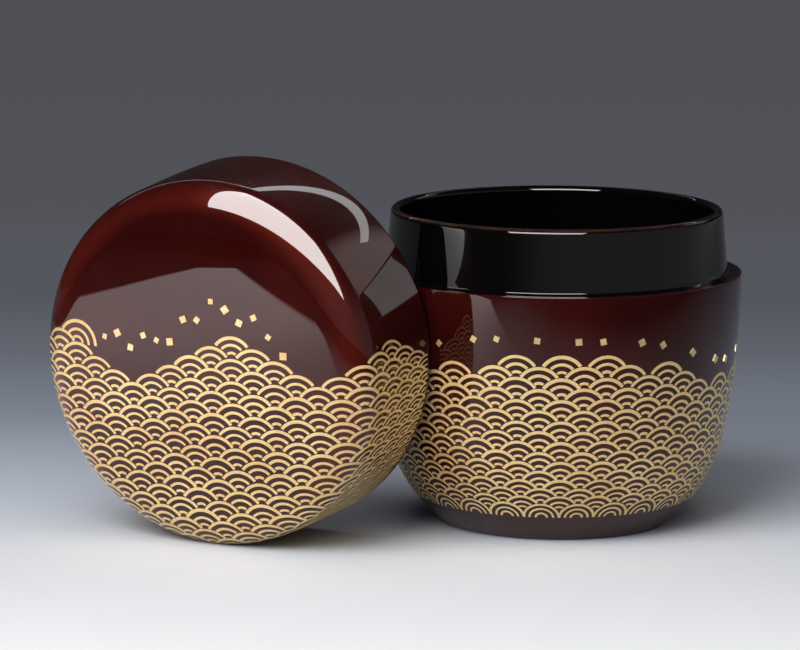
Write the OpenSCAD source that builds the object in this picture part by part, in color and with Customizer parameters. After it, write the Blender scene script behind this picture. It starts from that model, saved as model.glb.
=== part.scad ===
// Lacquered tea caddy: a turned cup with a rising collar, and its lid standing beside it on edge.
// Millimetres, +Z up. The origin is the middle of the foot, on the table.

/* [Body] */
// Outside diameter at the shoulder, shared by the body and the lid
caddy_d = 66; // [58:0.5:78]
// Height of the ledge that the closed lid sits on
ledge_h = 45; // [40:0.5:54]
// Diameter of the flat foot
foot_d = 41; // [34:0.5:46]
// Radius of the long curve of the upper wall
wall_curve_r = 158; // [130:1:300]
// Radius of the rounded heel
heel_r = 30; // [24:0.5:34]
// Thickness of the floor, coats included
floor_t = 4.5; // [3:0.1:7]
// Radius where the inside wall turns into the floor
inner_heel_r = 18; // [8:0.5:20]

/* [Collar] */
// Width of the ledge outside the collar
ledge_w = 2.5; // [2.2:0.1:4]
// Height of the collar above the ledge
collar_h = 11.2; // [8:0.1:14]
// Thickness of the collar at the ledge
collar_t = 2.7; // [2.2:0.1:4]
// Slope of the collar's outside
collar_taper = 4.9; // [0:0.1:6]
// Depth of the collar's seat below the ledge
collar_seat = 8; // [4:0.5:12]
// Fillet where the collar rises from the ledge
collar_fillet = 0.4; // [0.2:0.05:0.6]

/* [Lid] */
// Height of the lid's side wall
lid_wall_h = 18.4; // [15:0.1:24]
// Radius of the lid wall's long curve
lid_curve_r = 248; // [180:1:320]
// Radius of the lid's shoulder, where it leaves the side wall
lid_shoulder_r = 4; // [3.6:0.1:6]
// Radius of the easier curve between the shoulder and the crown
lid_haunch_r = 9; // [7:0.5:14]
// Radius of the crown's shallow dome
crown_curve_r = 164; // [100:1:320]
// Gap around the collar inside the closed lid
lid_clearance = 0.2; // [0.1:0.05:0.4]
// Space over the collar's crest inside the closed lid
crest_room = 0.8; // [0.4:0.1:2]
// Bevel inside the lid's rim, which clears the collar's fillet
rim_bevel = 0.6; // [0.5:0.05:0.8]

/* [Lacquer] */
// Thickness of the brown-red outer coat
coat_t = 0.6; // [0.4:0.05:0.9]
// Thickness of the black inner coat
lining_t = 0.5; // [0.3:0.05:0.6]
// Bevel on the outer edges of the ledge and of the lid's rim
edge_bevel = 0.35; // [0.2:0.05:0.4]

/* [Lid standing beside the body] */
// Turn of the lid's crown away from the front
lid_yaw = 27.4; // [0:0.1:45]
// How far the crown tips towards the table
lid_lean = 3.9; // [0:0.1:8]
// Bearing of the lid's rim from the body's axis
lid_bearing = 47.5; // [40:0.5:70]
// Gap between the lid's rim and the body's shoulder, seen from above
lid_gap = 0.4; // [0.4:0.1:10]

/* [Gold squares] */
// Side of the smallest cut-gold square
square_side = 0.9; // [0.6:0.05:1.6]
// How much larger the largest square is
square_growth = 0.5; // [0:0.05:0.8]
// Thickness of the gold
gold_t = 0.12; // [0.08:0.01:0.2]
// Squares sprinkled around the body
body_squares = 34; // [8:1:48]
// Squares sprinkled over the lid's crown
lid_squares = 14; // [4:1:24]
// Height of the body's wave crests, on average
crest_h = 33; // [24:0.5:34]
// Rise and fall of the body's wave crests
crest_swing = 4; // [0:0.5:5]
// Height of the lid's wave crests above the middle of the crown, as the lid stands
lid_crest_h = 4; // [-4:0.5:6]
// Rise and fall of the lid's wave crests
lid_crest_swing = 3.5; // [0:0.5:4]
// Height that the squares spread over above the crests
spray_h = 5.5; // [3:0.5:6]

/* [Hidden] */
$fn = 240;

wood = [0.72, 0.55, 0.36];
brown_red = [0.25, 0.09, 0.08];
black = [0.03, 0.03, 0.03];
gold = [0.85, 0.68, 0.38];

// A little more than any cut has to reach past an edge
over = 1;
// Side of a cutting square that is larger than any section
reach = 200;
// Placings are split into whole steps of this size and a rest, so that curves meet exactly
fine_step = 0.001;
caddy_r = caddy_d / 2;

// The wall's curve is level at the ledge, and the heel's curve meets it and ends at the foot.
wall_centre = [caddy_r - wall_curve_r, ledge_h];
to_foot = [foot_d / 2, 0] - wall_centre;
heel_reach = wall_curve_r - heel_r;
heel_turn = atan2(-to_foot.y, to_foot.x)
    - acos((heel_reach ^ 2 + norm(to_foot) ^ 2 - heel_r ^ 2) / (2 * heel_reach * norm(to_foot)));
heel_centre = wall_centre + heel_reach * [cos(heel_turn), -sin(heel_turn)];

// The collar narrows upwards to a crest that is round from side to side.
collar_r = caddy_r - ledge_w;
mouth_r = collar_r - collar_t;
crest_w = collar_t - collar_h * tan(collar_taper);
crest_r = crest_w * cos(collar_taper) / (1 + cos(collar_taper) - sin(collar_taper));
crest_centre = [mouth_r + crest_r, ledge_h + collar_h - crest_r];
crest_outer = crest_centre + crest_r * [cos(collar_taper), sin(collar_taper)];
fillet_centre = [
    collar_r - collar_fillet * tan(collar_taper) + collar_fillet / cos(collar_taper),
    ledge_h + collar_fillet
];
fillet_on_collar = fillet_centre - collar_fillet * [cos(collar_taper), sin(collar_taper)];

// The lid is drawn on its own axis, with its rim at zero and its crown up.
lid_wall_centre = [caddy_r - lid_curve_r, 0];
lid_turn = asin(lid_wall_h / lid_curve_r);
shoulder_centre = lid_wall_centre + (lid_curve_r - lid_shoulder_r) * [cos(lid_turn), sin(lid_turn)];
// The shoulder gives way to the haunch halfway between level and upright.
haunch_turn = 45;
haunch_centre = shoulder_centre - (lid_haunch_r - lid_shoulder_r) * [cos(haunch_turn), sin(haunch_turn)];
crown_centre = [0, haunch_centre.y - sqrt((crown_curve_r - lid_haunch_r) ^ 2 - haunch_centre.x ^ 2)];
lid_h = crown_centre.y + crown_curve_r;
crown_turn = atan2(haunch_centre.y - crown_centre.y, haunch_centre.x);

// The socket inside the lid follows the collar, and the wall above it keeps the thickness it has there.
socket_r = collar_r + lid_clearance;
socket_h = collar_h + crest_room;
wall_at_socket = lid_wall_centre.x + sqrt(lid_curve_r ^ 2 - socket_h ^ 2);
lid_t_step = 0.05;
lid_t = lid_t_step * floor((wall_at_socket - socket_r + socket_h * tan(collar_taper)) / lid_t_step);
socket_top_r = lid_wall_centre.x + sqrt((lid_curve_r - lid_t) ^ 2 - socket_h ^ 2);

// The lid stands on the end of its side wall, a small gap from the body.
lid_side = [cos(lid_yaw), -sin(lid_yaw)];
lid_near = (caddy_r + lid_gap) * [-cos(lid_bearing), -sin(lid_bearing)];
lid_rest_h = lid_lean < lid_turn
    ? lid_wall_centre.x * cos(lid_lean) + lid_curve_r
    : shoulder_centre.x * cos(lid_lean) + shoulder_centre.y * sin(lid_lean) + lid_shoulder_r;
lid_place = [lid_near.x - caddy_r * lid_side.x, lid_near.y - caddy_r * lid_side.y, lid_rest_h];

// Steps that spread the gold squares evenly without a visible row
golden_turn = 137.5;
golden_step = 0.618;
size_step = 0.755;
// The lowest square stands this share of the spray above the crest.
spray_foot = 0.3;
crest_waves = 3;
second_waves = 5;
second_share = 0.4;
lid_crest_length = 34;
lid_crest_lead = 25;
// Half the width of the crown that the squares spread over
lid_spray_reach = 19;

function part_of(x) = x - floor(x);
function side_of_square(i) = square_side * (1 + square_growth * part_of(i * size_step));
function spray_over(i) = spray_h * (spray_foot + (1 - spray_foot) * part_of(i * golden_step));
function two_waves(turn) = sin(crest_waves * turn) + second_share * sin(second_waves * turn);
function crest_at(turn) = crest_h + crest_swing * two_waves(turn) / (1 + second_share);
function lid_crest_at(x) = lid_crest_h
    + lid_crest_swing * sin(360 * x / lid_crest_length + lid_crest_lead);

module place(p) {
    whole = [for (v = p) fine_step * floor(v / fine_step)];
    translate(whole) translate(p - whole) children();
}

// Parts of a section above, below, outside and inside a line
module above(h) {
    place([0, h]) square(reach);
}

module below(h) {
    place([0, h - reach]) square(reach);
}

module outside(r) {
    place([r, 0]) square(reach);
}

module inside(r) {
    place([r - reach, 0]) square(reach);
}

// Half section of the body's outside, set in by t, from height low up to the ledge
module body_section(t, low) {
    turn_h = ledge_h - (wall_curve_r - t) * sin(heel_turn);
    intersection() {
        place(wall_centre) circle(r = wall_curve_r - t);
        above(turn_h);
        below(ledge_h);
    }
    intersection() {
        place(heel_centre) circle(r = heel_r - t);
        above(low);
        below(turn_h);
    }
}

// Half section of the hollow inside the body, grown by t
module body_hollow(t) {
    round_centre = [mouth_r - inner_heel_r, floor_t + inner_heel_r];
    translate([0, round_centre.y]) square([mouth_r + t, ledge_h]);
    translate([0, floor_t - t]) square([round_centre.x, inner_heel_r + t]);
    intersection() {
        translate(round_centre) circle(r = inner_heel_r + t);
        translate([round_centre.x, floor_t - t]) square(inner_heel_r + t);
    }
}

// Half section of the lid's outside, set in by t
module lid_section(t) {
    wall_top = (lid_curve_r - t) * sin(lid_turn);
    haunch_edge = haunch_centre.x + (lid_haunch_r - t) * cos(haunch_turn);
    crown_edge = (crown_curve_r - t) * cos(crown_turn);
    intersection() {
        place(lid_wall_centre) circle(r = lid_curve_r - t);
        above(0);
        below(wall_top);
    }
    intersection() {
        place(shoulder_centre) circle(r = lid_shoulder_r - t);
        above(wall_top);
        outside(haunch_edge);
    }
    intersection() {
        place(haunch_centre) circle(r = lid_haunch_r - t);
        above(wall_top);
        outside(crown_edge);
        inside(haunch_edge);
    }
    intersection() {
        place(crown_centre) circle(r = crown_curve_r - t);
        above(wall_top);
        inside(crown_edge);
    }
}

// Half section of the hollow inside the lid, grown by t
module lid_hollow(t) {
    intersection() {
        lid_section(lid_t - t);
        translate([0, socket_h]) square([caddy_r, lid_h]);
    }
    polygon([[0, 0], [socket_r + t, 0], [socket_top_r + t, socket_h], [0, socket_h]]);
}

// Corner that the bevel takes off an outer edge, on the side of the edge where z grows by way
module outer_bevel(z, way) {
    polygon([
        [caddy_r - edge_bevel, z], [caddy_r - edge_bevel, z + way * over],
        [caddy_r + over, z + way * over], [caddy_r + over, z - way * (edge_bevel + over)]
    ]);
}

module stand_lid() {
    translate(lid_place) rotate([90 + lid_lean, 0, -lid_yaw]) children();
}

module body_core() {
    color(wood) rotate_extrude() difference() {
        body_section(coat_t, coat_t);
        body_hollow(lining_t);
        translate([0, ledge_h - lining_t]) square([caddy_r + over, over]);
        translate([0, ledge_h - collar_seat]) square([collar_r, collar_seat]);
    }
}

module base_coat() {
    color(brown_red) rotate_extrude() intersection() {
        body_section(0, 0);
        square([caddy_r, coat_t]);
    }
}

module body_coat() {
    color(brown_red) rotate_extrude() difference() {
        body_section(0, coat_t);
        body_section(coat_t, coat_t);
        outer_bevel(ledge_h, 1);
    }
}

module body_lining() {
    color(black) rotate_extrude() difference() {
        body_hollow(lining_t);
        body_hollow(0);
        translate([0, ledge_h - collar_seat]) square([caddy_r, ledge_h * 2]);
    }
}

module collar() {
    color(black) rotate_extrude() {
        translate([mouth_r, ledge_h - collar_seat]) square([collar_t, collar_seat]);
        translate([mouth_r, ledge_h - lining_t]) square([caddy_r - coat_t - mouth_r, lining_t]);
        polygon([[mouth_r, ledge_h], [collar_r, ledge_h], crest_outer, [mouth_r, crest_centre.y]]);
        intersection() {
            translate(crest_centre) circle(r = crest_r);
            polygon([
                [mouth_r, crest_centre.y], crest_outer,
                crest_outer + [0, collar_h], [mouth_r, crest_centre.y + collar_h]
            ]);
        }
        difference() {
            polygon([[collar_r, ledge_h], [fillet_centre.x, ledge_h], fillet_centre, fillet_on_collar]);
            translate(fillet_centre) circle(r = collar_fillet);
        }
    }
}

module gold_square(side) {
    translate([-side / 2, -side / 2, 0]) cube([side, side, gold_t]);
}

module body_gold_squares() {
    color(gold) for (i = [0 : body_squares - 1]) {
        turn = i * golden_turn;
        z = crest_at(turn) + spray_over(i);
        slope = asin((ledge_h - z) / wall_curve_r);
        rotate(turn) translate([wall_centre.x + wall_curve_r * cos(slope), 0, z])
            rotate([0, 90 + slope, 0]) rotate(i * golden_turn) gold_square(side_of_square(i));
    }
}

module lid_core() {
    color(wood) stand_lid() rotate_extrude() difference() {
        lid_section(coat_t);
        lid_hollow(lining_t);
        square([caddy_r + over, lining_t]);
    }
}

module lid_coat() {
    color(brown_red) stand_lid() rotate_extrude() difference() {
        lid_section(0);
        lid_section(coat_t);
        outer_bevel(0, -1);
    }
}

module lid_lining() {
    color(black) stand_lid() rotate_extrude() difference() {
        union() {
            lid_hollow(lining_t);
            intersection() {
                lid_section(coat_t);
                square([caddy_r + over, lining_t]);
            }
        }
        lid_hollow(0);
        polygon([
            [0, -over], [socket_r + rim_bevel, -over], [socket_r + rim_bevel, 0],
            [socket_r, rim_bevel], [0, rim_bevel]
        ]);
    }
}

module lid_gold_squares() {
    color(gold) stand_lid() for (i = [0 : lid_squares - 1]) {
        x = lid_spray_reach * ((2 * i + 1) / lid_squares - 1);
        y = lid_crest_at(x) + spray_over(i);
        slope = asin(norm([x, y]) / crown_curve_r);
        rotate(atan2(y, x)) translate([norm([x, y]), 0, crown_centre.y + crown_curve_r * cos(slope)])
            rotate([0, slope, 0]) rotate(i * golden_turn) gold_square(side_of_square(i));
    }
}

body_core();
base_coat();
body_coat();
body_lining();
collar();
body_gold_squares();
lid_core();
lid_coat();
lid_lining();
lid_gold_squares();
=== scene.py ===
import math
import random
from bisect import bisect_right

import bmesh
import bpy
from mathutils import Matrix, Vector, noise


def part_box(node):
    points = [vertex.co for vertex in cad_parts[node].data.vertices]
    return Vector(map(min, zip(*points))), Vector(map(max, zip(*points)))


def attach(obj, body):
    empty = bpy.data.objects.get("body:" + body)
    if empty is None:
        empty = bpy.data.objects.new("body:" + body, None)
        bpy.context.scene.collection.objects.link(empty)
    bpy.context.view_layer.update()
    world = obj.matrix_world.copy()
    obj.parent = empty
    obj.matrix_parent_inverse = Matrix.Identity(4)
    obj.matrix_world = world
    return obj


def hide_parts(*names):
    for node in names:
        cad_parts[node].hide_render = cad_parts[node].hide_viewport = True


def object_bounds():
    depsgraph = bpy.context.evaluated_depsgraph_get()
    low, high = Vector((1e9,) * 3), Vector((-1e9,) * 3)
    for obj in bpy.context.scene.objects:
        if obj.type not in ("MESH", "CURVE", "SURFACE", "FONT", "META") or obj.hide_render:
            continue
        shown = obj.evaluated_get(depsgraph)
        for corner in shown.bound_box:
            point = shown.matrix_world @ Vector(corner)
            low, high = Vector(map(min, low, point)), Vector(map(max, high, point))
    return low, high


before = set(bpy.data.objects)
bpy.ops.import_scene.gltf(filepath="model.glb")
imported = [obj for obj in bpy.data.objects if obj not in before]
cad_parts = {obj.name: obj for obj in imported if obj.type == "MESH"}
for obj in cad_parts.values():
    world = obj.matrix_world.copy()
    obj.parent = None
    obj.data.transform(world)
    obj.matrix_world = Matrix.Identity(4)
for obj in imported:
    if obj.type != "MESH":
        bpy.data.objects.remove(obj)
cadLow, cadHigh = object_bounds()
print("frame loaded with", len(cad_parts), "nodes")

mm = 0.001

# Sizes shared by the body and the lid, read from the frame where it shows them
caddy = {
    "radius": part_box("body_coat")[1].x,
    "ledge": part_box("body_coat")[1].z,
    "coat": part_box("base_coat")[1].z,
    "lining": 0.5 * mm,
    "edgeRound": 0.15 * mm,
}

lathe = {
    "segments": 192,
    "arcStep": 0.6 * mm,       # length of one step along a curve that shows
    "hiddenStep": 2.5 * mm,    # and along one that doesn't
    "roundSteps": 5,           # a small round's step is its radius over this
    "weld": 0.001 * mm,
    "ripple": 0.0025 * mm,     # hand-rubbed unevenness of the lacquer
    "rippleLength": 9 * mm,
    "sharpAngle": math.radians(40),
}


# Node helpers

def addNode(tree, kind, inputs=None, **settings):
    node = tree.nodes.new(kind)
    for key, value in settings.items():
        setattr(node, key, value)
    for key, value in (inputs or {}).items():
        if isinstance(value, bpy.types.NodeSocket):
            tree.links.new(value, node.inputs[key])
        else:
            node.inputs[key].default_value = value
    return node


def calc(tree, operation, first, second, clamp=False):
    inputs = {0: first, 1: second}
    return addNode(tree, "ShaderNodeMath", inputs, operation=operation, use_clamp=clamp).outputs[0]


def fade(tree, value, fromLow, fromHigh, toLow=0.0, toHigh=1.0):
    inputs = {
        "Value": value, "From Min": fromLow, "From Max": fromHigh, "To Min": toLow, "To Max": toHigh}
    node = addNode(tree, "ShaderNodeMapRange", inputs, interpolation_type="SMOOTHSTEP")
    return node.outputs["Result"]


def mixColours(tree, share, first, second):
    inputs = {0: share, 6: first, 7: second}     # 6, 7 and the output 2 are the colour sockets
    return addNode(tree, "ShaderNodeMix", inputs, data_type="RGBA").outputs[2]


def noiseAt(tree, place, scale, detail):
    inputs = {"Vector": place, "Scale": scale, "Detail": detail}
    return addNode(tree, "ShaderNodeTexNoise", inputs).outputs[0]


def objectPlace(tree):
    return addNode(tree, "ShaderNodeTexCoord").outputs["Object"]


def newGroup(name, inputs, outputs):
    tree = bpy.data.node_groups.new(name, "ShaderNodeTree")
    for label, kind, value in inputs:
        socket = tree.interface.new_socket(label, in_out="INPUT", socket_type="NodeSocket" + kind)
        socket.default_value = value
    for label, kind in outputs:
        tree.interface.new_socket(label, in_out="OUTPUT", socket_type="NodeSocket" + kind)
    return tree, tree.nodes.new("NodeGroupInput").outputs, tree.nodes.new("NodeGroupOutput").inputs


def useGroup(tree, group, inputs):
    return addNode(tree, "ShaderNodeGroup", inputs, node_tree=group).outputs


def newMaterial(name, viewColour):
    material = bpy.data.materials.new(name)
    material.use_nodes = True
    material.diffuse_color = viewColour
    tree = material.node_tree
    return material, tree, tree.nodes["Principled BSDF"]


# Effects that more than one finish uses

depthEffect = {
    "noiseSpan": (0.3, 0.75),      # part of each noise that counts
    "poolScale": 38.0,             # slow change of the coat's thickness
    "poolDetail": 2.0,
    "poolChange": (-0.12, 0.16),
    "rubScale": 160.0,             # change of its polish
    "rubDetail": 5.0,
    "rubChange": (0.8, 1.3),
}


def makeLacquerDepth():
    tree, given, result = newGroup(
        "lacquerDepth",
        [("Deep", "Color", (0.05, 0.01, 0.01, 1)), ("Thin", "Color", (0.2, 0.05, 0.03, 1)),
         ("Thinness", "Float", 0.0), ("Rubbed", "Float", 0.1)],
        [("Color", "Color"), ("Roughness", "Float")],
    )
    place = objectPlace(tree)
    pools = noiseAt(tree, place, depthEffect["poolScale"], depthEffect["poolDetail"])
    rubs = noiseAt(tree, place, depthEffect["rubScale"], depthEffect["rubDetail"])
    uneven = fade(tree, pools, *depthEffect["noiseSpan"], *depthEffect["poolChange"])
    share = calc(tree, "ADD", given["Thinness"], uneven, clamp=True)
    tree.links.new(mixColours(tree, share, given["Deep"], given["Thin"]), result["Color"])
    polish = fade(tree, rubs, *depthEffect["noiseSpan"], *depthEffect["rubChange"])
    tree.links.new(calc(tree, "MULTIPLY", given["Rubbed"], polish), result["Roughness"])
    return tree


def makeDustSpecks():
    tree, given, result = newGroup(
        "dustSpecks",
        [("Spacing", "Float", 300.0), ("Amount", "Float", 0.1), ("Size", "Float", 0.03)],
        [("Mask", "Float")],
    )
    place = objectPlace(tree)
    cells = addNode(tree, "ShaderNodeTexVoronoi", {"Vector": place, "Scale": given["Spacing"]})
    pick = addNode(tree, "ShaderNodeSeparateColor", {"Color": cells.outputs["Color"]})
    chosen = calc(tree, "LESS_THAN", pick.outputs[0], given["Amount"])
    size = calc(tree, "MULTIPLY", given["Size"], pick.outputs[1])
    speck = calc(tree, "LESS_THAN", cells.outputs["Distance"], size)
    tree.links.new(calc(tree, "MULTIPLY", chosen, speck), result["Mask"])
    return tree


powderEffect = {
    "noiseSpan": (0.35, 0.7),
    "grainDetail": 2.0,
    "grainChange": (0.0, 0.5),     # how far single grains dull the gold
    "driftScale": 90.0,            # and how far thin places do
    "driftDetail": 3.0,
    "driftChange": (-0.15, 0.5),
    "roughness": (0.3, 0.5),       # where it is bright and where it is dull
}


def makeGoldPowder():
    tree, given, result = newGroup(
        "goldPowder",
        [("Bright", "Color", (0.8, 0.55, 0.2, 1)), ("Dull", "Color", (0.5, 0.28, 0.08, 1)),
         ("Grain", "Float", 4000.0)],
        [("Color", "Color"), ("Roughness", "Float"), ("Height", "Float")],
    )
    place = objectPlace(tree)
    grains = noiseAt(tree, place, given["Grain"], powderEffect["grainDetail"])
    drifts = noiseAt(tree, place, powderEffect["driftScale"], powderEffect["driftDetail"])
    grainShare = fade(tree, grains, *powderEffect["noiseSpan"], *powderEffect["grainChange"])
    driftShare = fade(tree, drifts, *powderEffect["noiseSpan"], *powderEffect["driftChange"])
    share = calc(tree, "ADD", grainShare, driftShare, clamp=True)
    tree.links.new(mixColours(tree, share, given["Bright"], given["Dull"]), result["Color"])
    tree.links.new(fade(tree, share, 0.0, 1.0, *powderEffect["roughness"]), result["Roughness"])
    tree.links.new(grains, result["Height"])
    return tree


lacquerDepth = makeLacquerDepth()
dustSpecks = makeDustSpecks()
goldPowder = makeGoldPowder()
print("effects built")


# Finishes

def addDust(tree, colour, look):
    dust = useGroup(tree, dustSpecks, {
        "Spacing": look["dustSpacing"], "Amount": look["dustAmount"], "Size": look["dustSize"]})
    return mixColours(tree, dust["Mask"], colour, look["dust"])


def addTopCoat(shader, look):
    shader.inputs["Specular IOR Level"].default_value = look["underShine"]
    shader.inputs["Coat Weight"].default_value = 1.0
    shader.inputs["Coat Roughness"].default_value = look["coatRoughness"]
    shader.inputs["Coat IOR"].default_value = look["coatIor"]


brownFinish = {
    "deep": (0.022, 0.0016, 0.0014, 1),
    "thin": (0.095, 0.008, 0.004, 1),
    "rubbed": 0.24,
    "underIor": 1.5,
    "underShine": 0.08,            # soft light that comes back from inside the coat
    "underTint": (1.0, 0.16, 0.08, 1),
    "coatRoughness": 0.01,
    "coatIor": 1.56,
    "dust": (0.35, 0.33, 0.32, 1),
    "dustSpacing": 260.0,          # cells in a metre, and the share of them with a speck
    "dustAmount": 0.02,
    "dustSize": 0.035,             # largest speck, as a share of a cell
}


def makeBrownLacquer(name, look):
    material, tree, shader = newMaterial(name, look["thin"])
    thin = addNode(tree, "ShaderNodeAttribute", attribute_name="thinness").outputs["Fac"]
    depth = useGroup(tree, lacquerDepth, {
        "Deep": look["deep"], "Thin": look["thin"], "Thinness": thin, "Rubbed": look["rubbed"]})
    tree.links.new(addDust(tree, depth["Color"], look), shader.inputs["Base Color"])
    tree.links.new(depth["Roughness"], shader.inputs["Roughness"])
    shader.inputs["IOR"].default_value = look["underIor"]
    shader.inputs["Specular Tint"].default_value = look["underTint"]
    addTopCoat(shader, look)
    return material


blackFinish = {
    "deep": (0.0012, 0.0012, 0.0014, 1),
    "thin": (0.004, 0.002, 0.002, 1),
    "rubbed": 0.3,
    "underShine": 0.0,
    "coatRoughness": 0.01,
    "coatIor": 1.54,
    "dust": (0.3, 0.3, 0.31, 1),
    "dustSpacing": 260.0,
    "dustAmount": 0.025,
    "dustSize": 0.035,
    "worn": (0.045, 0.017, 0.009, 1),
    "wearScale": 220.0,            # patches of the worn edge
    "wearDetail": 4.0,
    "wearSpan": (0.3, 0.6),
    "wearChange": (0.35, 1.0),
    "wearRoughness": 0.15,
}


def makeBlackLacquer(name, look, hasWear):
    material, tree, shader = newMaterial(name, look["deep"])
    depth = useGroup(tree, lacquerDepth, {
        "Deep": look["deep"], "Thin": look["thin"], "Thinness": 0.0, "Rubbed": look["rubbed"]})
    colour = addDust(tree, depth["Color"], look)
    rough = depth["Roughness"]
    if hasWear:
        worn = addNode(tree, "ShaderNodeAttribute", attribute_name="thinness").outputs["Fac"]
        patches = noiseAt(tree, objectPlace(tree), look["wearScale"], look["wearDetail"])
        rubbed = calc(tree, "MULTIPLY", worn, fade(tree, patches, *look["wearSpan"], *look["wearChange"]))
        colour = mixColours(tree, rubbed, colour, look["worn"])
        rough = calc(tree, "ADD", rough, calc(tree, "MULTIPLY", rubbed, look["wearRoughness"]))
    tree.links.new(colour, shader.inputs["Base Color"])
    tree.links.new(rough, shader.inputs["Roughness"])
    addTopCoat(shader, look)
    return material


goldFinish = {
    "bright": (0.93, 0.7, 0.33, 1),
    "dull": (0.73, 0.46, 0.18, 1),
    "metallic": 0.5,           # powder, part of it dull
    "grain": 5200.0,
    "bumpStrength": 0.6,
    "bumpHeight": 0.02 * mm,
}


def makeGold(name, look):
    material, tree, shader = newMaterial(name, look["bright"])
    powder = useGroup(tree, goldPowder, {
        "Bright": look["bright"], "Dull": look["dull"], "Grain": look["grain"]})
    bump = addNode(tree, "ShaderNodeBump", {
        "Height": powder["Height"], "Strength": look["bumpStrength"], "Distance": look["bumpHeight"]})
    tree.links.new(powder["Color"], shader.inputs["Base Color"])
    tree.links.new(powder["Roughness"], shader.inputs["Roughness"])
    tree.links.new(bump.outputs["Normal"], shader.inputs["Normal"])
    shader.inputs["Metallic"].default_value = look["metallic"]
    return material


leafFinish = {
    "bright": (0.96, 0.75, 0.4, 1),
    "dull": (0.82, 0.55, 0.24, 1),
    "metallic": 0.8,
    "grain": 1500.0,
    "bumpStrength": 0.6,
    "bumpHeight": 0.01 * mm,
}

woodFinish = {
    "early": (0.47, 0.29, 0.14, 1),
    "late": (0.27, 0.14, 0.06, 1),
    "ringScale": 140.0,
    "ringDistortion": 4.0,
    "ringDetail": 3.0,
    "poreScale": 900.0,
    "poreDetail": 4.0,
    "poreSpan": (0.3, 0.7),
    "roughness": (0.5, 0.75),
    "bumpStrength": 0.3,
    "bumpHeight": 0.05 * mm,
}


def makeTurnedWood(name, look):
    material, tree, shader = newMaterial(name, look["early"])
    place = objectPlace(tree)
    ringForm = {"Vector": place, "Scale": look["ringScale"],
                "Distortion": look["ringDistortion"], "Detail": look["ringDetail"]}
    rings = addNode(tree, "ShaderNodeTexWave", ringForm, wave_type="RINGS", rings_direction="Y")
    pores = noiseAt(tree, place, look["poreScale"], look["poreDetail"])
    colour = mixColours(tree, rings.outputs["Fac"], look["early"], look["late"])
    tree.links.new(colour, shader.inputs["Base Color"])
    rough = fade(tree, pores, *look["poreSpan"], *look["roughness"])
    tree.links.new(rough, shader.inputs["Roughness"])
    bump = addNode(tree, "ShaderNodeBump", {
        "Height": pores, "Strength": look["bumpStrength"], "Distance": look["bumpHeight"]})
    tree.links.new(bump.outputs["Normal"], shader.inputs["Normal"])
    return material


brownLacquer = makeBrownLacquer("brownLacquer", brownFinish)
blackLacquer = makeBlackLacquer("blackLacquer", blackFinish, False)
collarLacquer = makeBlackLacquer("collarLacquer", blackFinish, True)
goldLine = makeGold("goldLine", goldFinish)
cutGold = makeGold("cutGold", leafFinish)
turnedWood = makeTurnedWood("turnedWood", woodFinish)
print("finishes mixed")


# Turned pieces: an outline in the XZ plane, spun round the Z axis

def heading(turn):
    return Vector((math.cos(turn), math.sin(turn)))


def startOutline(radius, height):
    bm = bmesh.new()
    return bm, bm.verts.new((radius, 0, height))


def lineTo(bm, tip, radius, height, steps=1):
    start = tip.co.copy()
    end = Vector((radius, 0, height))
    for i in range(steps):
        tip = bmesh.ops.extrude_vert_indiv(bm, verts=[tip])["verts"][0]
        tip.co = start.lerp(end, (i + 1) / steps)
    return tip


# A turn is an angle below level, so a growing turn runs down the outside
def arcTo(bm, tip, centre, fromTurn, toTurn, step=lathe["arcStep"]):
    pivot = Vector((centre[0], 0, centre[1]))
    length = abs(toTurn - fromTurn) * (tip.co - pivot).length
    made = bmesh.ops.spin(
        bm, geom=[tip], cent=pivot, axis=(0, 1, 0), angle=toTurn - fromTurn,
        steps=max(3, math.ceil(length / step)))
    return next(part for part in made["geom_last"] if isinstance(part, bmesh.types.BMVert))


def closeOutline(bm, tip):
    bm.verts.ensure_lookup_table()
    bm.edges.new((tip, bm.verts[0]))


def finishPiece(bm, name, material, body, nodes, place=None):
    if place:
        bmesh.ops.transform(bm, matrix=place, verts=bm.verts)
    mesh = bpy.data.meshes.new(name)
    bm.to_mesh(mesh)
    bm.free()
    mesh.materials.append(material)
    mesh.shade_smooth()
    mesh.set_sharp_from_angle(angle=lathe["sharpAngle"])
    piece = bpy.data.objects.new(name, mesh)
    bpy.context.scene.collection.objects.link(piece)
    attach(piece, body)
    if nodes:
        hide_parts(*nodes)
    print(name, "has", len(mesh.polygons), "faces")


def turnPiece(bm, name, material, body, node, place=None, thinAt=None):
    bmesh.ops.spin(
        bm, geom=bm.verts[:] + bm.edges[:], cent=(0, 0, 0), axis=(0, 0, 1), angle=math.tau,
        steps=lathe["segments"], use_merge=True)
    bmesh.ops.remove_doubles(bm, verts=bm.verts, dist=lathe["weld"])
    bmesh.ops.recalc_face_normals(bm, faces=bm.faces)
    bm.normal_update()
    thinness = bm.verts.layers.float.new("thinness")
    for vert in bm.verts:
        if thinAt:
            vert[thinness] = thinAt(math.hypot(vert.co.x, vert.co.y), vert.co.z)
        vert.co += vert.normal * noise.noise(vert.co / lathe["rippleLength"]) * lathe["ripple"]
    finishPiece(bm, name, material, body, [node], place)


# A soft hump, 1 at the middle and 0 from its half width on
def humpAt(value, middle, halfWidth):
    share = max(0.0, 1.0 - abs(value - middle) / halfWidth)
    return share * share * (3 - 2 * share)


# Body

bodyForm = {
    "wallCurve": 158 * mm,
    "heelCurve": 30 * mm,
    "footRadius": 20.5 * mm,
    "footRound": 0.8 * mm,
    "thinFoot": 0.5,           # how far the coat thins round the foot
}


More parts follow.
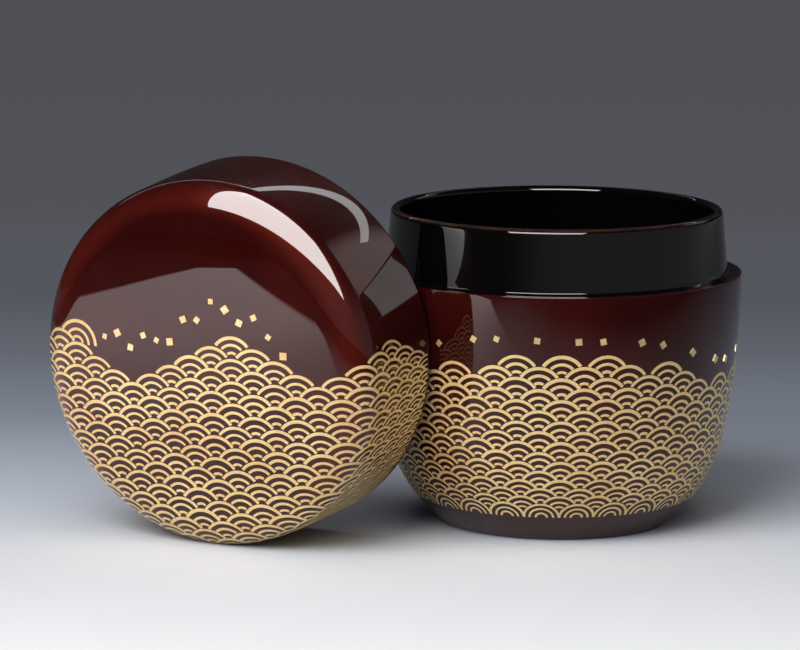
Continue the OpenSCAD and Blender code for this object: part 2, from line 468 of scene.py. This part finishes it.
def bodyCurve():
    centre = Vector((caddy["radius"] - bodyForm["wallCurve"], caddy["ledge"]))
    toFoot = Vector((bodyForm["footRadius"], 0)) - centre
    reach = bodyForm["wallCurve"] - bodyForm["heelCurve"]
    spread = (reach ** 2 + toFoot.length ** 2 - bodyForm["heelCurve"] ** 2) / (2 * reach * toFoot.length)
    turn = math.atan2(-toFoot.y, toFoot.x) - math.acos(spread)
    return centre, centre + reach * heading(-turn), turn


wallCentre, heelCentre, heelTurn = bodyCurve()


def heelTurnAt(height, inset=0.0):
    return math.asin((heelCentre.y - height) / (bodyForm["heelCurve"] - inset))


def makeBodyCoat():
    radius, coat, edge = caddy["radius"], caddy["coat"], caddy["edgeRound"]
    outerLow = heelTurnAt(coat)
    innerLow = heelTurnAt(coat, coat)
    edgeTurn = math.asin(edge / bodyForm["wallCurve"])
    bm, tip = startOutline(heelCentre.x + bodyForm["heelCurve"] * math.cos(outerLow), coat)
    tip = arcTo(bm, tip, heelCentre, outerLow, heelTurn)
    tip = arcTo(bm, tip, wallCentre, heelTurn, edgeTurn)
    edgeCentre = (radius - edge, caddy["ledge"] - edge)
    tip = arcTo(bm, tip, edgeCentre, 0, -math.pi / 2, edge / lathe["roundSteps"])
    tip = lineTo(bm, tip, radius - coat, caddy["ledge"])
    tip = lineTo(bm, tip, radius - coat, caddy["ledge"] - edge)
    tip = arcTo(bm, tip, wallCentre, edgeTurn, heelTurn, lathe["hiddenStep"])
    tip = arcTo(bm, tip, heelCentre, heelTurn, innerLow, lathe["hiddenStep"])
    closeOutline(bm, tip)
    turnPiece(bm, "bodyCoat", brownLacquer, "body", "body_coat")


def makeBaseCoat():
    coat, foot = caddy["coat"], bodyForm["footRound"]
    reach = bodyForm["heelCurve"] - foot
    footCentre = Vector((heelCentre.x + math.sqrt(reach ** 2 - (heelCentre.y - foot) ** 2), foot))
    footTurn = math.atan2(heelCentre.y - foot, footCentre.x - heelCentre.x)
    bm, tip = startOutline(0, 0)
    tip = lineTo(bm, tip, footCentre.x, 0, steps=12)
    tip = arcTo(bm, tip, footCentre, math.pi / 2, footTurn, foot / lathe["roundSteps"])
    tip = arcTo(bm, tip, heelCentre, footTurn, heelTurnAt(coat), foot / lathe["roundSteps"])
    lineTo(bm, tip, 0, coat, steps=3)

    def thinAt(r, z):
        return bodyForm["thinFoot"] * humpAt(r, footCentre.x, 2 * foot)

    turnPiece(bm, "baseCoat", brownLacquer, "body", "base_coat", thinAt=thinAt)


collarForm = {
    "ledgeWidth": 2.5 * mm,
    "thickness": 2.7 * mm,
    "taper": math.radians(4.9),
    "fillet": 0.4 * mm,
    "crestSteps": 8,
    "wornTurn": math.radians(50),     # place of the worn line on the crest's round
    "wornWidth": 0.35 * mm,
}

collarOuter = caddy["radius"] - collarForm["ledgeWidth"]
mouthRadius = collarOuter - collarForm["thickness"]
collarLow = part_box("collar")[0].z
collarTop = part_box("collar")[1].z


def makeCollar():
    taper, fillet, lining = collarForm["taper"], collarForm["fillet"], caddy["lining"]
    ledge = caddy["ledge"]
    slope = math.tan(taper)
    crestWidth = collarForm["thickness"] - (collarTop - ledge) * slope
    crest = crestWidth * math.cos(taper) / (1 + math.cos(taper) - math.sin(taper))
    crestCentre = Vector((mouthRadius + crest, collarTop - crest))
    filletCentre = Vector((collarOuter - fillet * slope + fillet / math.cos(taper), ledge + fillet))
    filletTop = filletCentre - fillet * heading(taper)
    flangeEdge = caddy["radius"] - caddy["coat"]
    bm, tip = startOutline(mouthRadius, collarLow)
    tip = lineTo(bm, tip, mouthRadius, crestCentre.y, steps=14)
    tip = arcTo(bm, tip, crestCentre, -math.pi, -taper, crest / collarForm["crestSteps"])
    tip = lineTo(bm, tip, filletTop.x, filletTop.y, steps=12)
    tip = arcTo(bm, tip, filletCentre, math.pi - taper, math.pi / 2, fillet / lathe["roundSteps"])
    tip = lineTo(bm, tip, flangeEdge, ledge, steps=3)
    tip = lineTo(bm, tip, flangeEdge, ledge - lining)
    tip = lineTo(bm, tip, collarOuter, ledge - lining)
    tip = lineTo(bm, tip, collarOuter, collarLow)
    closeOutline(bm, tip)
    wornAt = crestCentre + crest * heading(collarForm["wornTurn"])

    def thinAt(r, z):
        return humpAt(math.hypot(r - wornAt.x, z - wornAt.y), 0, collarForm["wornWidth"])

    turnPiece(bm, "collarRing", collarLacquer, "body", "collar", thinAt=thinAt)


hollowForm = {
    "floor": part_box("body_lining")[0].z + caddy["lining"],
    "heelCurve": 18 * mm,
}


def makeBodyLining():
    floor, heel, lining = hollowForm["floor"], hollowForm["heelCurve"], caddy["lining"]
    centre = (mouthRadius - heel, floor + heel)
    bm, tip = startOutline(0, floor)
    tip = lineTo(bm, tip, centre[0], floor, steps=8)
    tip = arcTo(bm, tip, centre, math.pi / 2, 0)
    tip = lineTo(bm, tip, mouthRadius, collarLow, steps=10)
    tip = lineTo(bm, tip, mouthRadius + lining, collarLow)
    tip = lineTo(bm, tip, mouthRadius + lining, centre[1])
    tip = arcTo(bm, tip, centre, 0, math.pi / 2, lathe["hiddenStep"])
    lineTo(bm, tip, 0, floor - lining)
    turnPiece(bm, "bodyLining", blackLacquer, "body", "body_lining")


makeBodyCoat()
makeBaseCoat()
makeCollar()
makeBodyLining()
print("body turned")


# Lid, drawn with its rim at zero and its crown up, then stood on edge

lidForm = {
    "wallHeight": 18.4 * mm,
    "wallCurve": 248 * mm,
    "shoulder": 4 * mm,
    "haunch": 9 * mm,          # easier curve between the shoulder and the crown
    "haunchTurn": math.radians(45),
    "crownCurve": 164 * mm,
    "thickness": 3 * mm,
    "clearance": 0.2 * mm,
    "crestRoom": 0.8 * mm,
    "rimBevel": 0.6 * mm,
    "yaw": math.radians(27.4),
    "lean": math.radians(3.9),
    "bearing": math.radians(47.5),
    "gap": 0.4 * mm,
    "shoulderThinAndSheen": 0.4,       # how far the coat thins over the shoulder and where, partly a painted sheen for the light's red glow
    "thinAndSheenMiddle": 29.6 * mm,
    "thinAndSheenReach": 3.4 * mm,
}

crownCurve = lidForm["crownCurve"]
haunchTurn = lidForm["haunchTurn"]
lidWallCentre = Vector((caddy["radius"] - lidForm["wallCurve"], 0))
lidTurn = math.asin(lidForm["wallHeight"] / lidForm["wallCurve"])
shoulderCentre = lidWallCentre + (lidForm["wallCurve"] - lidForm["shoulder"]) * heading(lidTurn)
haunchCentre = shoulderCentre - (lidForm["haunch"] - lidForm["shoulder"]) * heading(haunchTurn)
crownDrop = math.sqrt((crownCurve - lidForm["haunch"]) ** 2 - haunchCentre.x ** 2)
crownCentre = Vector((0, haunchCentre.y - crownDrop))
crownTurn = math.atan2(crownDrop, haunchCentre.x)
lidHeight = crownCentre.y + crownCurve


# The lid rests on its wall, or on its shoulder where it leans farther
def standLid():
    lean, yaw, bearing = lidForm["lean"], lidForm["yaw"], lidForm["bearing"]
    near = -(caddy["radius"] + lidForm["gap"]) * heading(bearing)
    middle = near - caddy["radius"] * heading(-yaw)
    if lean < lidTurn:
        height = lidWallCentre.x * math.cos(lean) + lidForm["wallCurve"]
    else:
        height = shoulderCentre.dot(heading(lean)) + lidForm["shoulder"]
    turn = Matrix.Rotation(-yaw, 4, "Z") @ Matrix.Rotation(math.pi / 2 + lean, 4, "X")
    return Matrix.Translation((middle.x, middle.y, height)) @ turn


lidStand = standLid()


# Runs along the lid's section from the axis to the wall, or back from there
def lidCurves(bm, tip, step, stopTurn, outwards):
    arcs = [
        (crownCentre, -math.pi / 2, -crownTurn),
        (haunchCentre, -crownTurn, -haunchTurn),
        (shoulderCentre, -haunchTurn, -lidTurn),
        (lidWallCentre, -lidTurn, stopTurn),
    ]
    if outwards:
        for centre, fromTurn, toTurn in arcs:
            tip = arcTo(bm, tip, centre, fromTurn, toTurn, step)
    else:
        for centre, fromTurn, toTurn in reversed(arcs):
            tip = arcTo(bm, tip, centre, toTurn, fromTurn, step)
    return tip


def makeLidCoat():
    coat, edge, radius = caddy["coat"], caddy["edgeRound"], caddy["radius"]
    edgeTurn = -math.asin(edge / lidForm["wallCurve"])
    bm, tip = startOutline(0, lidHeight - coat)
    tip = lidCurves(bm, tip, lathe["hiddenStep"], edgeTurn, True)
    tip = lineTo(bm, tip, radius - coat, 0)
    tip = lineTo(bm, tip, radius - edge, 0)
    tip = arcTo(bm, tip, (radius - edge, edge), math.pi / 2, 0, edge / lathe["roundSteps"])
    lidCurves(bm, tip, lathe["arcStep"], edgeTurn, False)

    # Lighter red ring over the shoulder on the crown side: partly the thinner coat, partly a painted
    # sheen for the red glow of the lit lacquer
    def thinAt(r, z):
        onTop = 1.0 if z > shoulderCentre.y else 0.0
        return lidForm["shoulderThinAndSheen"] * onTop * humpAt(r, lidForm["thinAndSheenMiddle"], lidForm["thinAndSheenReach"])

    turnPiece(bm, "lidCoat", brownLacquer, "lid", "lid_coat", lidStand, thinAt)


def makeLidLining():
    lining, bevel = caddy["lining"], lidForm["rimBevel"]
    socketLow = collarOuter + lidForm["clearance"]
    socketHeight = collarTop - caddy["ledge"] + lidForm["crestRoom"]
    thickness = lidForm["thickness"]
    wallReach = math.sqrt((lidForm["wallCurve"] - thickness) ** 2 - socketHeight ** 2)
    socketHigh = lidWallCentre.x + wallReach

    def stopAt(inset):
        return -math.asin(socketHeight / (lidForm["wallCurve"] - inset))

    outerInset = thickness - lining
    bm, tip = startOutline(0, lidHeight - outerInset)
    tip = lidCurves(bm, tip, lathe["hiddenStep"], stopAt(outerInset), True)
    tip = lineTo(bm, tip, socketHigh + lining, socketHeight)
    tip = lineTo(bm, tip, socketLow + lining, lining)
    tip = lineTo(bm, tip, caddy["radius"] - caddy["coat"], lining)
    tip = lineTo(bm, tip, caddy["radius"] - caddy["coat"], 0)
    tip = lineTo(bm, tip, socketLow + bevel, 0, steps=2)
    bevelStep = bevel / lathe["roundSteps"]
    tip = arcTo(bm, tip, (socketLow + bevel, bevel), math.pi / 2, math.pi, bevelStep)
    tip = lineTo(bm, tip, socketHigh, socketHeight, steps=12)
    lidCurves(bm, tip, lathe["arcStep"], stopAt(thickness), False)
    turnPiece(bm, "lidLining", blackLacquer, "lid", "lid_lining", lidStand)


makeLidCoat()
makeLidLining()
print("lid turned")


# Gold waves: rows of overlapping scales, each of a few arcs, drawn flat and wrapped on

waveForm = {
    "perTurn": 26,             # scales round the body
    "arcs": 3,                 # lines in a scale
    "lineWidth": 0.5 * mm,
    "edgeWidth": 0.6 * mm,     # the outermost line of a scale is bolder
    "height": 0.045 * mm,
    "sink": 0.05 * mm,
    "gap": 0.1,                # clear share of a radius beside an overlapping scale
    "sides": 4,                # of a line's section
    "steps": 12,
    "sweepStep": 3,            # degrees between the points where a line is tried
    "leastRun": 4,             # shorter stretches of a line are left out
    "wander": 0.05,            # unevenness of the hand in a line's radius
    "leastWidth": 0.9,         # and in its width
    "widthSpread": 0.2,
    "seed": 11,
}

pitch = math.tau * caddy["radius"] / waveForm["perTurn"]
scaleRadius = pitch / 2
rowRise = scaleRadius / 2
waveSweep = [math.radians(degree) for degree in range(0, 181, waveForm["sweepStep"])]


def longestRun(angles, shows):
    best, run = [], []
    for angle in angles:
        run = run + [angle] if shows(angle) else []
        if len(run) > len(best):
            best = run
    return best


def addArc(bm, middle, radius, angles, width):
    section = Matrix.Diagonal((width / 2, (waveForm["height"] + waveForm["sink"]) / 2, 1, 1))
    rise = (waveForm["height"] - waveForm["sink"]) / 2
    place = (
        Matrix.Translation((middle.x, middle.y, 0)) @ Matrix.Rotation(angles[0], 4, "Z")
        @ Matrix.Translation((radius, 0, rise)) @ Matrix.Rotation(math.pi / 2, 4, "X") @ section
    )
    others = set(bm.faces)
    made = bmesh.ops.create_circle(bm, cap_ends=True, radius=1, segments=waveForm["sides"], matrix=place)
    face = made["verts"][0].link_faces[0]
    bmesh.ops.spin(
        bm, geom=[face, *face.edges, *face.verts], cent=(middle.x, middle.y, 0), axis=(0, 0, 1),
        angle=angles[-1] - angles[0], steps=waveForm["steps"])
    strip = [side for side in bm.faces if side not in others]
    bmesh.ops.recalc_face_normals(bm, faces=strip)
    upper = max(strip, key=lambda side: side.calc_center_median().z)
    upper.normal_update()
    if upper.normal.z < 0:     # a thin bent strip can come out of it inside out
        bmesh.ops.reverse_faces(bm, faces=strip)


# Draws one scale in a small bmesh of its own, because an operator slows down as its mesh grows
def addScale(bm, middle, near, clear, inside, rng, sheet):
    scale = bmesh.new()
    for k in range(1, waveForm["arcs"] + 1):
        wander = 1 + waveForm["wander"] * (rng.random() - 0.5)
        radius = scaleRadius * k / waveForm["arcs"] * wander
        width = waveForm["edgeWidth"] if k == waveForm["arcs"] else waveForm["lineWidth"]

        def shows(angle):
            point = middle + radius * heading(angle)
            return inside(point) and all((point - other).length > clear for other in near)

        angles = longestRun(waveSweep, shows)
        if len(angles) > waveForm["leastRun"]:
            width *= waveForm["leastWidth"] + waveForm["widthSpread"] * rng.random()
            addArc(scale, middle, radius, angles, width)
    scale.to_mesh(sheet)
    scale.free()
    bm.from_mesh(sheet)


# Draws the scales whose middles are given by row, leaving out what lower rows hide
def drawScales(rows, inside):
    rng = random.Random(waveForm["seed"])
    bm = bmesh.new()
    sheet = bpy.data.meshes.new("scaleSheet")
    clear = scaleRadius * (1 + waveForm["gap"])
    for number, row in enumerate(rows):
        below = [middle for lower in rows[max(0, number - 2):number] for middle in lower]
        for middle in row:
            near = [other for other in below if (other - middle).length < 2 * clear]
            addScale(bm, middle, near, clear, inside, rng, sheet)
    bpy.data.meshes.remove(sheet)
    return bm


def wrapScales(bm, name, onSurface, body, place=None):
    for vert in bm.verts:
        vert.co = onSurface(vert.co)
    if bm.calc_volume(signed=True) < 0:
        bmesh.ops.reverse_faces(bm, faces=bm.faces)
    finishPiece(bm, name, goldLine, body, [], place)


bodyWaves = {
    "low": 5 * mm,             # height where the waves begin
    "crest": 33 * mm,          # mean height of their crests
    "swing": 4 * mm,
    "waves": 3,
    "secondWaves": 5,
    "secondShare": 0.4,
    "trackSteps": 160,
}


def bodyCrest(angle):
    second = bodyWaves["secondShare"] * math.sin(bodyWaves["secondWaves"] * angle)
    rise = (math.sin(bodyWaves["waves"] * angle) + second) / (1 + bodyWaves["secondShare"])
    return bodyWaves["crest"] + bodyWaves["swing"] * rise


# Steps up the wall so that a flat scale keeps its shape where the body narrows
def makeBodyTrack():
    lowTurn = heelTurnAt(bodyWaves["low"])
    track = []
    climb = 0.0
    for i in range(bodyWaves["trackSteps"] + 1):
        turn = lowTurn * (1 - i / bodyWaves["trackSteps"])
        onHeel = turn > heelTurn
        centre = heelCentre if onHeel else wallCentre
        curve = bodyForm["heelCurve"] if onHeel else bodyForm["wallCurve"]
        spot = centre + curve * heading(-turn)
        if track:
            step = (spot - track[-1][1]).length
            climb += step * caddy["radius"] / ((spot.x + track[-1][1].x) / 2)
        track.append((climb, spot, turn))
    return track


bodyTrack = makeBodyTrack()
bodyClimbs = [step[0] for step in bodyTrack]


def bodySpot(climb):
    i = min(max(bisect_right(bodyClimbs, climb), 1), len(bodyTrack) - 1)
    (low, lowSpot, lowTurn), (high, highSpot, highTurn) = bodyTrack[i - 1], bodyTrack[i]
    share = (climb - low) / (high - low)
    return lowSpot.lerp(highSpot, share), lowTurn + (highTurn - lowTurn) * share


def onBody(flat):
    spot, turn = bodySpot(flat.y)
    radius = spot.x + flat.z * math.cos(turn)
    angle = flat.x / caddy["radius"]
    return Vector((radius * math.cos(angle), radius * math.sin(angle), spot.y - flat.z * math.sin(turn)))


def makeBodyWaves():
    rows = []
    climb = 0.0
    while climb + scaleRadius < bodyClimbs[-1]:
        top = bodySpot(climb + scaleRadius)[0].y
        row = []
        for i in range(waveForm["perTurn"]):
            across = (i + 0.5 * (len(rows) % 2)) * pitch
            if top < bodyCrest(across / caddy["radius"]):
                row.append(Vector((across, climb)))
        rows.append(row)
        climb += rowRise
    turnLength = math.tau * caddy["radius"]
    wrapped = []               # rows with what they meet past both ends of the turn
    for row in rows:
        copies = [
            middle + Vector((way * turnLength, 0)) for middle in row for way in (-1, 1)
            if abs(middle.x + way * turnLength - turnLength / 2) < turnLength / 2 + pitch
        ]
        wrapped.append(row + copies)
    bm = drawScales(wrapped, lambda point: -scaleRadius < point.x < turnLength + scaleRadius)
    wrapScales(bm, "bodyGoldWaves", onBody, "body")


lidWaves = {
    "crest": 4 * mm,           # mean height of the crests above the crown's middle
    "swing": 3.5 * mm,
    "length": 34 * mm,
    "lead": math.radians(25),
    "rimClear": 0.9 * mm,
    "standClear": 0.03 * mm,   # height of the gold above the table where the lid stands
}

# Stretches of the lid's outside from the middle of the crown to the rim,
# each with its centre, its curve and the turn at both ends
lidStretches = [
    (crownCentre, crownCurve, math.pi / 2, crownTurn),
    (haunchCentre, lidForm["haunch"], crownTurn, haunchTurn),
    (shoulderCentre, lidForm["shoulder"], haunchTurn, lidTurn),
    (lidWallCentre, lidForm["wallCurve"], lidTurn, 0),
]
lidReach = sum(curve * (high - low) for _, curve, high, low in lidStretches)


def lidSpot(reach):
    for centre, curve, high, low in lidStretches:
        length = curve * (high - low)
        if reach < length:
            break
        reach -= length
    turn = high - reach / curve if reach < length else low
    return centre + curve * heading(turn), turn


def onLid(flat):
    spot, turn = lidSpot(math.hypot(flat.x, flat.y))
    angle = math.atan2(flat.y, flat.x)
    radius = spot.x + flat.z * math.cos(turn)
    return Vector((radius * math.cos(angle), radius * math.sin(angle), spot.y + flat.z * math.sin(turn)))


def lidCrest(across):
    phase = math.tau * across / lidWaves["length"] + lidWaves["lead"]
    return lidWaves["crest"] + lidWaves["swing"] * math.sin(phase)


def makeLidWaves():
    rows = []
    columns = math.ceil(lidReach / pitch) + 1
    low = -lidReach - scaleRadius
    while low < lidWaves["crest"] + lidWaves["swing"]:
        row = []
        for i in range(-columns, columns + 1):
            middle = Vector(((i + 0.5 * (len(rows) % 2)) * pitch, low))
            if middle.y + scaleRadius < lidCrest(middle.x) and middle.length < lidReach + scaleRadius:
                row.append(middle)
        rows.append(row)
        low += rowRise

    def inside(point):
        pastRim = point.length > lidReach - lidWaves["rimClear"]
        top = lidStand @ onLid(Vector((point.x, point.y, waveForm["height"])))
        return not pastRim and top.z > lidWaves["standClear"] and top.x > cadLow.x

    bm = drawScales(rows, inside)
    wrapScales(bm, "lidGoldWaves", onLid, "lid", lidStand)


makeBodyWaves()
makeLidWaves()
print("gold drawn")


# Pieces that keep their solids get these finishes

def refinish(node, material):
    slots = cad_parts[node].data.materials
    slots.clear()
    slots.append(material)


for node in ("body_core", "lid_core"):
    refinish(node, turnedWood)
for node in ("body_gold_squares", "lid_gold_squares"):
    refinish(node, cutGold)
print("kept solids refinished")


# Stage

# Each stop of the floor's shade has its depth share, its grey and how blue it is
stageForm = {
    "size": 10,
    "viewGrey": (0.9, 0.9, 0.9, 1),
    "roughness": 0.9,
    "front": -0.106,           # nearest floor in the picture
    "back": 0.4,
    "stops": (
        (0.0, 0.88, 0.02), (0.07, 0.79, 0.05), (0.13, 0.7, 0.07), (0.23, 0.56, 0.14), (0.31, 0.43, 0.18),
        (0.4, 0.28, 0.22), (0.55, 0.16, 0.22), (0.71, 0.08, 0.22), (1.0, 0.03, 0.2),
    ),
    "farGrey": (0.07, 0.07, 0.08, 1),
    "farStart": 0.06,          # the far floor fades over to this grey between these two depths
    "farEnd": 0.4,
    # painted reflection: the floor's colour for glossy rays outside the pale bounds
    "paintedReflectionDark": (0.03, 0.03, 0.032, 1),
    "paintedGlowStart": -0.05,        # painted reflection: left of this the pale floor glows for glossy rays, brighter in the lacquer
    "paintedGlowEnd": -0.25,
    "paintedGlowBack": 0.0,           # behind this it fades out
    "paintedGlowGone": 0.1,
    "paintedGlow": (1.0, 0.68, 0.68, 1),
    "leftEdge": -0.32,         # bounds of the floor kept pale in reflections; outside, glossy rays see it painted dark
    "slantPoint": Vector((-0.318, -0.062)),
    "slantNormal": Vector((0.757, -0.652)),
    "farEdge": -0.607,
    "frontPoint": Vector((-0.35, -0.325)),
    "frontNormal": Vector((-0.542, 0.84)),
    "crisp": 0.005,            # half width of a bound on the left
    "blurred": 0.15,           # half width of the front bound farther right
    "blurStart": -0.2,
    "blurEnd": -0.05,
    "paintedReflectionGrey": (0.2, 0.2, 0.205, 1),
    "openStart": 0.3,          # painted reflection: past the body on the right glossy rays see the floor glow this grey
    "openEnd": 0.8,
}


def makeFloorMaterial():
    material, tree, shader = newMaterial("floorPaper", stageForm["viewGrey"])
    axes = addNode(tree, "ShaderNodeSeparateXYZ", {"Vector": objectPlace(tree)}).outputs
    rays = addNode(tree, "ShaderNodeLightPath").outputs

    def beyond(point, normal, soft):
        acrossX = calc(tree, "MULTIPLY", axes["X"], normal.x)
        acrossY = calc(tree, "MULTIPLY", axes["Y"], normal.y)
        past = calc(tree, "SUBTRACT", calc(tree, "ADD", acrossX, acrossY), point.dot(normal))
        return fade(tree, past, -soft, soft)

    depth = addNode(tree, "ShaderNodeMapRange", {
        "Value": axes["Y"], "From Min": stageForm["front"], "From Max": stageForm["back"]})
    ramp = addNode(tree, "ShaderNodeValToRGB", {"Fac": depth.outputs["Result"]})
    stops = ramp.color_ramp.elements
    while len(stops) < len(stageForm["stops"]):
        stops.new(1.0)
    for stop, (position, grey, blue) in zip(stops, stageForm["stops"]):
        stop.position = position
        stop.color = (grey * (1 - blue / 2), grey, grey * (1 + blue), 1)
    crisp = stageForm["crisp"]
    level = Vector((1, 0))
    nearSide = beyond(Vector((stageForm["leftEdge"], 0)), level, crisp)
    slant = beyond(stageForm["slantPoint"], stageForm["slantNormal"], crisp)
    farSide = beyond(Vector((stageForm["farEdge"], 0)), level, crisp)
    left = calc(tree, "MULTIPLY", calc(tree, "MAXIMUM", nearSide, slant), farSide)
    sharp = beyond(stageForm["frontPoint"], stageForm["frontNormal"], crisp)
    soft = beyond(stageForm["frontPoint"], stageForm["frontNormal"], stageForm["blurred"])
    blur = fade(tree, axes["X"], stageForm["blurStart"], stageForm["blurEnd"])
    front = calc(tree, "ADD", calc(tree, "MULTIPLY", soft, blur),
                 calc(tree, "MULTIPLY", sharp, calc(tree, "SUBTRACT", 1.0, blur)))
    # Painted reflection: glossy rays see the floor dark outside these pale bounds, while the camera still
    # sees the ramp
    paleInReflection = calc(tree, "MULTIPLY", left, front)
    paintedDarkReflection = calc(tree, "MULTIPLY", rays["Is Glossy Ray"], calc(tree, "SUBTRACT", 1.0, paleInReflection))
    colour = mixColours(tree, paintedDarkReflection, ramp.outputs["Color"], stageForm["paintedReflectionDark"])
    tree.links.new(colour, shader.inputs["Base Color"])
    shader.inputs["Roughness"].default_value = stageForm["roughness"]
    shader.inputs["Specular IOR Level"].default_value = 0.0

    # Painted reflection: a pink glow on the pale floor to the left that only glossy rays see
    paintedGlow = fade(tree, axes["X"], stageForm["paintedGlowStart"], stageForm["paintedGlowEnd"])
    near = fade(tree, axes["Y"], stageForm["paintedGlowBack"], stageForm["paintedGlowGone"], 1.0, 0.0)
    paintedGlow = calc(tree, "MULTIPLY", paleInReflection, paintedGlow)
    paintedGlow = calc(tree, "MULTIPLY", paintedGlow, calc(tree, "MULTIPLY", near, rays["Is Glossy Ray"]))
    far = fade(tree, axes["Y"], stageForm["farStart"], stageForm["farEnd"])
    far = calc(tree, "MULTIPLY", far, calc(tree, "SUBTRACT", 1.0, rays["Is Diffuse Ray"]))
    distant = mixColours(tree, far, (0, 0, 0, 1), stageForm["farGrey"])
    # Painted reflection: glossy rays alone see the floor glow grey past the body on the right
    right = fade(tree, axes["X"], stageForm["openStart"], stageForm["openEnd"])
    right = calc(tree, "MULTIPLY", right, rays["Is Glossy Ray"])
    distant = mixColours(tree, right, distant, stageForm["paintedReflectionGrey"])
    tree.links.new(mixColours(tree, paintedGlow, distant, stageForm["paintedGlow"]), shader.inputs["Emission Color"])
    shader.inputs["Emission Strength"].default_value = 1.0
    return material


def makeFloor():
    bm = bmesh.new()
    bmesh.ops.create_grid(bm, x_segments=1, y_segments=1, size=stageForm["size"] / 2)
    mesh = bpy.data.meshes.new("floor")
    bm.to_mesh(mesh)
    bm.free()
    mesh.materials.append(makeFloorMaterial())
    floor = bpy.data.objects.new("floor", mesh)
    bpy.context.scene.collection.objects.link(floor)


makeFloor()
print("floor laid")


# Camera and light

cameraForm = {
    "place": (-27.8 * mm, -771.9 * mm, 162.5 * mm),
    "pitch": math.radians(90 - 9.4),
    "roll": math.radians(0.26),
    "focalPixels": 4378,
    "imageWidth": 800,
    "sensor": 36,
    "clipStart": 10 * mm,
}


def makeCamera():
    data = bpy.data.cameras.new("camera")
    data.sensor_width = cameraForm["sensor"]
    data.lens = cameraForm["focalPixels"] * cameraForm["sensor"] / cameraForm["imageWidth"]
    data.clip_start = cameraForm["clipStart"]
    camera = bpy.data.objects.new("camera", data)
    camera.location = cameraForm["place"]
    turn = Matrix.Rotation(cameraForm["pitch"], 3, "X") @ Matrix.Rotation(cameraForm["roll"], 3, "Z")
    camera.rotation_euler = turn.to_euler()
    bpy.context.scene.collection.objects.link(camera)
    bpy.context.scene.camera = camera


# A light's level is the brightness of its face, where 1 is white,
# and its link names the pieces that it leaves out or that it shines on alone
facePower = 4                  # power for each square metre of a face of level 1

lights = {
    "keyLight": {
        "place": (-0.467, -0.605, 0.643), "faces": (0.467, 0.605, -0.643), "long": (0, 0, 1),
        "width": 0.75, "length": 0.75, "level": 4.2, "diffuse": True, "glossy": False,
    },
    "softFront": {
        "place": (0.226, -0.57, 1.307), "faces": (0.573, 0.617, -0.54), "long": (-0.777, 0.619, -0.117),
        "width": 1.97, "length": 1.73, "level": 0.75, "diffuse": True, "glossy": False,
    },
    "keyShine": {
        "place": (0.271, -0.51, 1.33), "faces": (0.573, 0.617, -0.54), "long": (-0.777, 0.619, -0.117),
        "width": 1.85, "length": 1.73, "level": 10.5, "diffuse": False, "glossy": True,
        "link": ("EXCLUDE", ("bodyCoat", "collarRing")),
    },
    "keyGlint": {
        "place": (-0.14, -0.87, 0.54), "faces": (0.14, 0.87, -0.54), "long": (0, 0, 1),
        "width": 0.9, "length": 0.46, "level": 9.5, "diffuse": False, "glossy": True,
        "link": ("INCLUDE", ("bodyCoat", "collarRing")),
    },
    "backStrip": {
        "place": (0.009, 0.899, 0.75), "faces": (0, -0.8, -0.6), "long": (-0.898, 0.407, 0.169),
        "width": 0.034, "length": 1.95, "level": 1.6, "diffuse": False, "glossy": True,
    },
    "topFill": {
        "place": (-0.2, -0.1, 1.4), "faces": (0.14, 0.07, -1), "long": (1, 0, 0),
        "width": 1.2, "length": 1.2, "level": 0.15, "diffuse": True, "glossy": False,
    },
}


def makeLight(name, form):
    data = bpy.data.lights.new(name, "AREA")
    data.shape = "RECTANGLE"
    data.size = form["width"]
    data.size_y = form["length"]
    data.energy = form["level"] * facePower * form["width"] * form["length"]
    away = -Vector(form["faces"]).normalized()
    along = Vector(form["long"])
    along = (along - away * along.dot(away)).normalized()
    across = along.cross(away)
    light = bpy.data.objects.new(name, data)
    turn = Matrix((across, along, away)).transposed().to_4x4()
    light.matrix_world = Matrix.Translation(form["place"]) @ turn
    light.visible_camera = False
    light.visible_diffuse = form["diffuse"]
    light.visible_glossy = form["glossy"]
    bpy.context.scene.collection.objects.link(light)
    if "link" in form:
        state, names = form["link"]
        group = bpy.data.collections.new(name + "Pieces")
        for pieceName in names:
            group.objects.link(bpy.data.objects[pieceName])
        for entry in group.collection_objects:
            entry.light_linking.link_state = state
        light.light_linking.receiver_collection = group


worldLight = {
    "dim": (0.02, 0.02, 0.021, 1),
    "room": (0.2, 0.2, 0.205, 1),     # a pale room to the right and in front, near the horizon
    "roomHeading": Vector((0.7, -0.7, 0)),
    "roomNear": 0.1,
    "roomFar": 0.8,
    "low": 0.2,                       # heights between which it fades out
    "high": 0.6,
    "screen": (0.62, 0.52, 0.5, 1),   # a soft pale patch behind the body, seen in the lid's wall
    "screenHeading": Vector((0.754, 0.49, 0.438)),
    "screenNear": 0.968,
    "screenFar": 0.996,
}


def makeWorld():
    world = bpy.data.worlds.new("studio")
    world.use_nodes = True
    tree = world.node_tree
    way = addNode(tree, "ShaderNodeTexCoord").outputs["Generated"]

    def toward(aim, near, far):
        facing = addNode(tree, "ShaderNodeVectorMath", {0: way, 1: aim}, operation="DOT_PRODUCT")
        return fade(tree, facing.outputs["Value"], near, far)

    height = addNode(tree, "ShaderNodeSeparateXYZ", {"Vector": way}).outputs["Z"]
    side = toward(worldLight["roomHeading"], worldLight["roomNear"], worldLight["roomFar"])
    low = fade(tree, height, worldLight["low"], worldLight["high"], 1.0, 0.0)
    share = calc(tree, "MULTIPLY", side, low)
    room = mixColours(tree, share, worldLight["dim"], worldLight["room"])
    patch = toward(worldLight["screenHeading"], worldLight["screenNear"], worldLight["screenFar"])
    shade = tree.nodes["Background"]
    tree.links.new(mixColours(tree, patch, room, worldLight["screen"]), shade.inputs["Color"])
    bpy.context.scene.world = world


makeCamera()
for name, form in lights.items():
    makeLight(name, form)
makeWorld()
bpy.context.scene.view_settings.view_transform = "Standard"
print("camera and lights set")
